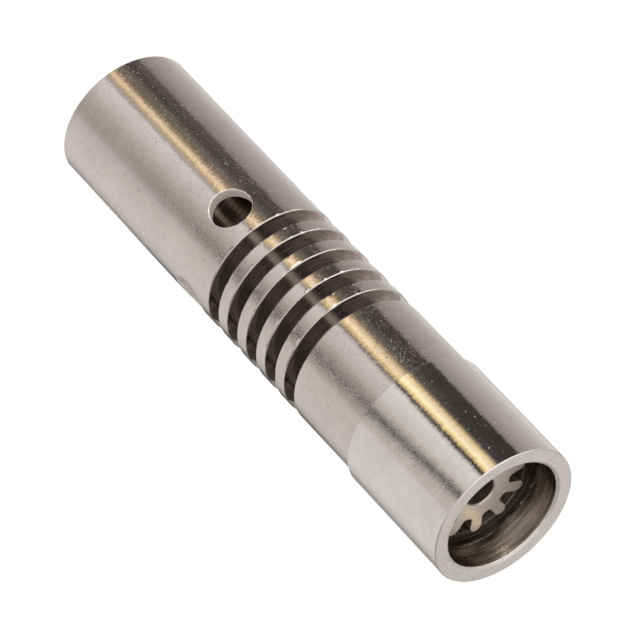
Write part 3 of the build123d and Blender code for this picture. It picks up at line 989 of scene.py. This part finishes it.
def cap(outer, inner, up):
    """Fills the flat face between an outer and an inner loop."""
    po = DVa[outer][:, :2]
    pi = DVa[inner][:, :2]
    allp = np.concatenate([po, pi])
    edges = [(i, (i + 1) % len(po)) for i in range(len(po))]
    edges += [(len(po) + i, len(po) + (i + 1) % len(pi)) for i in range(len(pi))]
    v2, _, tris, orig, _, _ = geometry.delaunay_2d_cdt([Vector(p) for p in allp.tolist()], edges, [], 0, 1e-7)
    assert len(v2) == len(allp)
    back = [o[0] for o in orig]
    names = list(outer) + list(inner)
    for t in tris:
        cpt = sum((Vector(v2[i]) for i in t), Vector((0, 0))) / len(t)
        if inside(po, cpt) and not inside(pi, cpt):
            DF.append([names[back[i]] for i in t])
            DZ.append(0)


cap(front_ids, hole_front, True)
cap(back_ids, hole_back, False)
DV = np.concatenate(DV)
DN = np.concatenate(DN)
DN = DN / np.linalg.norm(DN, axis=1)[:, None]
for i, f in enumerate(DF):
    a, b, c = DV[f[0]], DV[f[1]], DV[f[2]]
    gn = np.cross(b - a, DV[f[-1]] - a) if len(f) == 3 else np.cross(DV[f[2]] - DV[f[0]], DV[f[3]] - DV[f[1]])
    if gn @ DN[f].sum(0) < 0:
        DF[i] = f[::-1]
# the disc carries a painted patch of warm light over one tooth
mat_disc = satin("disc_satin", (0.645, 0.59, 0.55), 0.44, 1.5, 0.0, painted_light=True)
disc = make_mesh("disc_visual", DV, DF, DN, [mat_disc], DZ)
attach(disc, "root")
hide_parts("flame_disc")

# ------------------------------------------------------------------ studio


def studio_world():
    w = bpy.data.worlds.new("studio")
    w.use_nodes = True
    scene.world = w
    nt = w.node_tree
    n = Nodes(nt)
    bg = nt.nodes["Background"]
    tex = n.new("ShaderNodeTexCoord")
    x, y, z = n.xyz(tex.outputs["Generated"])
    azim = n.math("DEGREES", n.math("ARCTAN2", y, x))
    rel = n.math("SUBTRACT", azim, CAM_AZ)
    rel = n.math("WRAP", rel, 180.0, -180.0)
    elev = n.math("DEGREES", n.math("ARCSINE", z))

    def ramp(value, lo, hi, stops, interp="LINEAR"):
        pos = n.new("ShaderNodeMapRange", clamp=True)
        n.put(pos.inputs["Value"], value)
        pos.inputs["From Min"].default_value = lo
        pos.inputs["From Max"].default_value = hi
        r = n.new("ShaderNodeValToRGB")
        n.put(r.inputs[0], pos.outputs["Result"])
        r.color_ramp.interpolation = interp
        el = r.color_ramp.elements
        while len(el) > 1:
            el.remove(el[-1])
        first = True
        for at, c in stops:
            p = (at - lo) / (hi - lo)
            if first:
                e = el[0]
                e.position = p
                first = False
            else:
                e = el.new(p)
            e.color = (c[0], c[1], c[2], 1.0)
        return r.outputs["Color"]

    # what the sides of the tube see: cards and flags standing round the object, low down
    lower = ramp(rel, -180, 180, [
        (-180, (0.50, 0.49, 0.49)), (-177, (0.66, 0.65, 0.65)), (-158, (0.78, 0.77, 0.77)), (-144, (0.74, 0.73, 0.73)),
        (-120, (0.59, 0.56, 0.552)), (-104, (0.50, 0.473, 0.468)), (-88, (0.385, 0.36, 0.355)), (-81, (0.31, 0.285, 0.28)),
        (-77, (0.050, 0.044, 0.042)), (-46, (0.050, 0.046, 0.042)), (-43, (0.24, 0.19, 0.13)),
        (-38, (1.12, 0.90, 0.54)), (-33, (1.16, 1.04, 0.86)), (-30, (1.42, 1.29, 0.90)), (-24, (1.28, 1.02, 0.52)),
        (-20.5, (1.04, 0.88, 0.62)), (-16.5, (0.96, 0.93, 0.91)), (-10, (0.90, 0.89, 0.885)),
        (0, (0.82, 0.81, 0.805)), (16, (0.70, 0.67, 0.65)), (52, (0.68, 0.64, 0.62)), (55, (0.77, 0.74, 0.73)),
        (80, (0.81, 0.795, 0.785)), (112, (0.83, 0.815, 0.81)), (128, (0.75, 0.74, 0.73)), (142, (0.60, 0.585, 0.58)),
        (151, (0.375, 0.357, 0.348)), (158, (0.365, 0.351, 0.347)), (166, (0.60, 0.59, 0.585)), (180, (0.70, 0.69, 0.69))])

    def bell(centre, width, depth):
        """1 minus a soft dip of that depth."""
        away = n.math("DIVIDE", n.math("SUBTRACT", rel, centre), width)
        return n.math("SUBTRACT", 1.0, n.math("MULTIPLY", depth, n.math(
            "EXPONENT", n.math("MULTIPLY", n.math("MULTIPLY", away, away), -1.0))))

    # the warm light is narrower and weaker low down
    warm_low = ramp(rel, -50, -10, [
        (-50, (1.0, 1.0, 1.0)), (-46, (0.9, 0.9, 0.9)), (-42, (0.50, 0.50, 0.56)), (-38, (0.18, 0.20, 0.29)),
        (-35.5, (0.51, 0.51, 0.57)), (-33.5, (0.70, 0.645, 0.60)), (-28.5, (0.69, 0.635, 0.59)), (-26.0, (0.42, 0.44, 0.66)),
        (-22.5, (0.50, 0.58, 0.98)), (-18, (1.03, 1.08, 1.25)), (-12, (1.07, 1.07, 1.08))])
    lower = n.mix(n.smooth(elev, -36.3, -34.6), n.vmath("MULTIPLY", lower, warm_low), lower)
    strip = n.math("MULTIPLY", n.smooth(rel, -79.0, -75.0), n.smooth(rel, -47.0, -43.0, 1.0, 0.0))
    strip = n.math("MULTIPLY", strip, n.math("ADD", 0.95, n.math("MULTIPLY", n.smooth(rel, -62.0, -45.0), 3.0)))
    strip = n.math("MULTIPLY", strip, n.math("ADD", 1.0, n.math("MULTIPLY", n.smooth(elev, -36.5, -35.0, 1.0, 0.0), n.smooth(rel, -70.0, -63.0, 1.0, 0.0))))
    strip = n.math("MULTIPLY", strip, n.smooth(elev, -33.1, -32.85, 1.0, 0.0))
    lower = n.vmath("SCALE", lower, scale=n.math("ADD", 1.0, strip))
    glow = n.math("MULTIPLY", n.smooth(rel, -39.0, -34.0), n.smooth(rel, -30.0, -26.0, 1.0, 0.0))
    glow = n.math("MULTIPLY", glow, n.smooth(elev, -33.1, -32.85, 0.30, 0.0))
    lower = n.vmath("SCALE", lower, scale=n.math("ADD", 1.0, glow))
    # its own fine stripes
    wave = n.math("MULTIPLY", n.math("SINE", n.math("MULTIPLY", rel, 2 * math.pi / 3.1)), 0.5)
    wave = n.math("MULTIPLY", n.math("ADD", wave, 0.5), n.math("MULTIPLY", n.smooth(rel, -42.0, -38.0), n.smooth(rel, -22.0, -18.0, 1.0, 0.0)))
    lower = n.vmath("MULTIPLY", lower, n.vec(n.math("SUBTRACT", 1.0, n.math("MULTIPLY", wave, 0.07)),
                                             n.math("SUBTRACT", 1.0, n.math("MULTIPLY", wave, 0.14)),
                                             n.math("SUBTRACT", 1.0, n.math("MULTIPLY", wave, 0.29))))
    # a thin dark line beside it, gone low down
    line = bell(-18.9, n.smooth(elev, -34.0, -32.5, 2.0, 4.6), n.smooth(elev, -34.9, -32.7, 0.36, 0.97))
    lower = n.vmath("SCALE", lower, scale=line)
    # a soft dark streak, narrow high up and broad low down
    centre = n.math("ADD", 23.8, n.math("MULTIPLY", 7.0, n.math("SUBTRACT", -31.5, elev)))
    centre = n.math("MINIMUM", n.math("MAXIMUM", centre, 20.0), 39.5)
    width = n.math("ADD", n.smooth(elev, -37.0, -33.8, 15.5, 0.0), n.smooth(elev, -33.3, -32.8, 10.2, 6.2))
    depth = n.smooth(elev, -36.3, -34.5, 0.20, 0.97)
    lower = n.vmath("SCALE", lower, scale=bell(centre, width, depth))
    # the collar stands a little further from the cards on both sides
    wide = n.smooth(n.math("ABSOLUTE", rel), 159.0, 174.0)
    left = n.math("LESS_THAN", rel, 0.0)
    collar = n.math("MULTIPLY", n.math("MULTIPLY", wide, left), n.smooth(elev, -33.2, -32.7, 0.0, 0.80))
    lower = n.vmath("SCALE", lower, scale=n.math("SUBTRACT", 1.0, collar))
    # and on the other side the cards leave a darker gap at half height
    gap = n.math("MULTIPLY", n.smooth(elev, -36.5, -35.7), n.smooth(elev, -33.1, -32.85, 1.0, 0.0))
    gap = n.math("MULTIPLY", gap, n.smooth(rel, 148.0, 160.0))
    lower = n.vmath("SCALE", lower, scale=n.math("SUBTRACT", 1.0, n.math("MULTIPLY", gap, 0.68)))
    foot = n.math("MULTIPLY", n.smooth(elev, -36.7, -36.2, 1.0, 0.0), n.smooth(rel, 160.0, 172.0))
    lower = n.vmath("SCALE", lower, scale=n.math("ADD", 1.0, n.math("MULTIPLY", foot, 2.0)))
    rim = n.math("MULTIPLY", n.smooth(elev, -33.9, -33.3, 1.0, 0.0), n.smooth(rel, -172.0, -150.0, 1.0, 0.0))
    rim = n.math("MULTIPLY", rim, n.smooth(elev, -37.0, -35.8, -0.9, 1.3))
    lower = n.vmath("SCALE", lower, scale=n.math("ADD", 1.0, n.math("MULTIPLY", rim, 0.14)))
    # edges and corners look out level: a bright belt round the object
    belt = ramp(rel, -180, 180, [
        (-180, (0.62, 0.61, 0.60)), (-125, (0.62, 0.60, 0.59)), (-104, (0.80, 0.77, 0.75)), (-90, (1.8, 1.77, 1.72)), (-28, (1.9, 1.86, 1.78)), (-18, (1.2, 1.17, 1.12)),
        (2, (1.0, 0.98, 0.96)), (60, (0.80, 0.78, 0.77)), (125, (0.62, 0.60, 0.59)), (180, (0.62, 0.61, 0.60))])
    # dark flags that only level views meet
    flags = ramp(rel, -180, 180, [
        (-180, (1.0, 1.0, 1.0)), (-148, (1.0, 1.0, 1.0)), (-145, (0.16, 0.155, 0.15)), (-133, (0.16, 0.155, 0.15)), (-130, (1.0, 1.0, 1.0)),
        (56, (1.0, 1.0, 1.0)), (60, (0.13, 0.125, 0.12)), (82, (0.13, 0.125, 0.12)), (85, (1.0, 1.0, 1.0)), (100, (1.25, 1.23, 1.2)),
        (128, (1.1, 1.09, 1.08)), (142, (0.95, 0.95, 0.94)), (146, (0.30, 0.29, 0.28)), (166, (0.45, 0.44, 0.43)), (170, (1.0, 1.0, 1.0)),
        (180, (1.0, 1.0, 1.0))])
    belt_low = n.vmath("MULTIPLY", belt, flags)
    belt_low = n.mix(n.smooth(elev, 2.0, 6.0), belt_low, belt)
    lower = n.mix(n.smooth(elev, -27.0, -19.0), lower, belt_low)
    upper = ramp(rel, -180, 180, [
        (-180, (0.93, 0.91, 0.90)), (-156, (0.90, 0.88, 0.87)), (-142, (0.68, 0.66, 0.65)), (-127, (0.55, 0.52, 0.51)),
        (-114, (0.31, 0.285, 0.277)), (-102, (0.122, 0.110, 0.106)), (-90, (0.118, 0.106, 0.102)), (-79, (0.132, 0.117, 0.112)),
        (-66, (0.124, 0.110, 0.106)), (-56, (0.106, 0.095, 0.091)), (-46, (0.066, 0.058, 0.056)), (-38, (0.047, 0.041, 0.040)),
        (-32, (0.060, 0.052, 0.050)), (-27, (0.20, 0.178, 0.165)), (-20, (0.49, 0.445, 0.415)), (-14, (0.44, 0.40, 0.375)),
        (-9, (0.120, 0.106, 0.100)), (-3, (0.066, 0.057, 0.054)), (8, (0.092, 0.080, 0.076)), (30, (0.096, 0.084, 0.080)),
        (38, (0.084, 0.074, 0.071)), (50, (0.058, 0.051, 0.049)), (60, (0.046, 0.041, 0.039)), (90, (0.054, 0.048, 0.046)),
        (112, (0.070, 0.063, 0.060)), (130, (0.115, 0.106, 0.102)), (150, (0.13, 0.122, 0.119)),
        (166, (0.20, 0.19, 0.187)), (176, (0.50, 0.48, 0.47)), (180, (0.93, 0.91, 0.90))])
    nadir = ramp(rel, -180, 180, [
        (-180, (0.78, 0.77, 0.77)), (-130, (0.70, 0.69, 0.69)), (-95, (0.20, 0.19, 0.19)), (95, (0.20, 0.19, 0.19)),
        (130, (0.70, 0.69, 0.69)), (180, (0.78, 0.77, 0.77))])
    top = (1.5, 1.47, 1.44, 1.0)
    c = n.mix(n.smooth(elev, -56.0, -47.0), nadir, lower)
    c = n.mix(n.smooth(elev, 24.0, 29.0), c, upper)
    c = n.mix(n.smooth(elev, 45.0, 51.0), c, belt)
    c = n.mix(n.smooth(elev, 56.0, 64.0), c, top)
    n.put(bg.inputs["Color"], c)
    bg.inputs["Strength"].default_value = 1.0
    w.cycles_visibility.camera = False
    w.cycles_visibility.diffuse = False
    w.cycles_visibility.transmission = False
    w.cycles_visibility.scatter = False
    w.cycles.sampling_method = "MANUAL"
    w.cycles.sample_map_resolution = 1024
    return w


studio_world()

# floor: a wide pale sheet that curves up far away
prof = []
for i in range(0, 25):
    prof.append((0.9 * (i / 24.0) ** 1.6, 0.0))
for i in range(1, 25):
    a = math.pi / 2 * i / 24
    prof.append((0.9 + 0.5 * math.sin(a), 0.5 * (1 - math.cos(a))))
for i in range(1, 6):
    prof.append((1.4, 0.5 + 0.1 * i))
sv, sf = [], []
nseg = 96
for r, z in prof[1:]:
    for k in range(nseg):
        a = 2 * math.pi * k / nseg
        sv.append((r * math.cos(a), r * math.sin(a), z))
sv.append((0, 0, 0))
mid = len(sv) - 1
m_ = len(prof) - 1
for i in range(m_ - 1):
    for k in range(nseg):
        k2 = (k + 1) % nseg
        sf.append((i * nseg + k, i * nseg + k2, (i + 1) * nseg + k2, (i + 1) * nseg + k))
for k in range(nseg):
    sf.append((mid, k, (k + 1) % nseg))
me = bpy.data.meshes.new("floor_sheet")
me.from_pydata(sv, [], [tuple(reversed(f)) for f in sf])
me.polygons.foreach_set("use_smooth", np.ones(len(sf), bool))
me.update()
floor = bpy.data.objects.new("floor_sheet", me)
scene.collection.objects.link(floor)
fm, fn, fs_, fmm = start_material("floor_white")
fs_.inputs["Metallic"].default_value = 0.0
fs_.inputs["Base Color"].default_value = col(0.80, 0.80, 0.80)
fs_.inputs["Emission Color"].default_value = col(1.0, 1.0, 1.0)
fs_.inputs["Emission Strength"].default_value = 0.58
fs_.inputs["Roughness"].default_value = 0.95
fs_.inputs["Specular IOR Level"].default_value = 0.0
me.materials.append(fm)
floor.visible_glossy = False
floor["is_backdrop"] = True


def area(name, place, aim, size, power, colour=(1, 1, 1)):
    ld = bpy.data.lights.new(name, "AREA")
    ld.shape = "DISK"
    ld.size = size
    ld.energy = power
    ld.color = colour
    ob = bpy.data.objects.new(name, ld)
    scene.collection.objects.link(ob)
    ob.location = place
    ob.rotation_euler = (Vector(aim) - Vector(place)).to_track_quat("-Z", "Y").to_euler()
    ob.visible_glossy = False
    ob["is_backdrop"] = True
    return ob


area("light_top", (0.1, 0.1, 1.3), (0, 0, 0), 2.2, 11.0)

# ------------------------------------------------------------------ camera
CAM_POS = Vector((365.101, 62.736, 282.141)) * MM
CAM_RIGHT = Vector((-0.25582636, -0.78172223, 0.56873827))
CAM_UP = Vector((0.5179492, -0.60758557, -0.60213653))
CAM_FWD = Vector((-0.81626068, -0.14053514, -0.56032881))
cd = bpy.data.cameras.new("photo_camera")
cam = bpy.data.objects.new("photo_camera", cd)
scene.collection.objects.link(cam)
cd.sensor_width = 36.0
cd.lens = 280.096
cd.clip_start = 0.02
cd.clip_end = 5.0
mw = Matrix.Identity(4)
for r_ in range(3):
    mw[r_][0], mw[r_][1], mw[r_][2], mw[r_][3] = CAM_RIGHT[r_], CAM_UP[r_], -CAM_FWD[r_], CAM_POS[r_]
cam.matrix_world = mw
scene.camera = cam
scene.view_settings.view_transform = "Standard"
scene.view_settings.look = "None"
scene.view_settings.exposure = 0.0
scene.view_settings.gamma = 1.0


def plain(b):
    if isinstance(b, dict):
        return {k: plain(v) for k, v in b.items()}
    if isinstance(b, (int, float, str)) or b is None:
        return b
    return [plain(v) for v in b]


{"first": plain(first_bounds), "last": plain(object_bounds())}
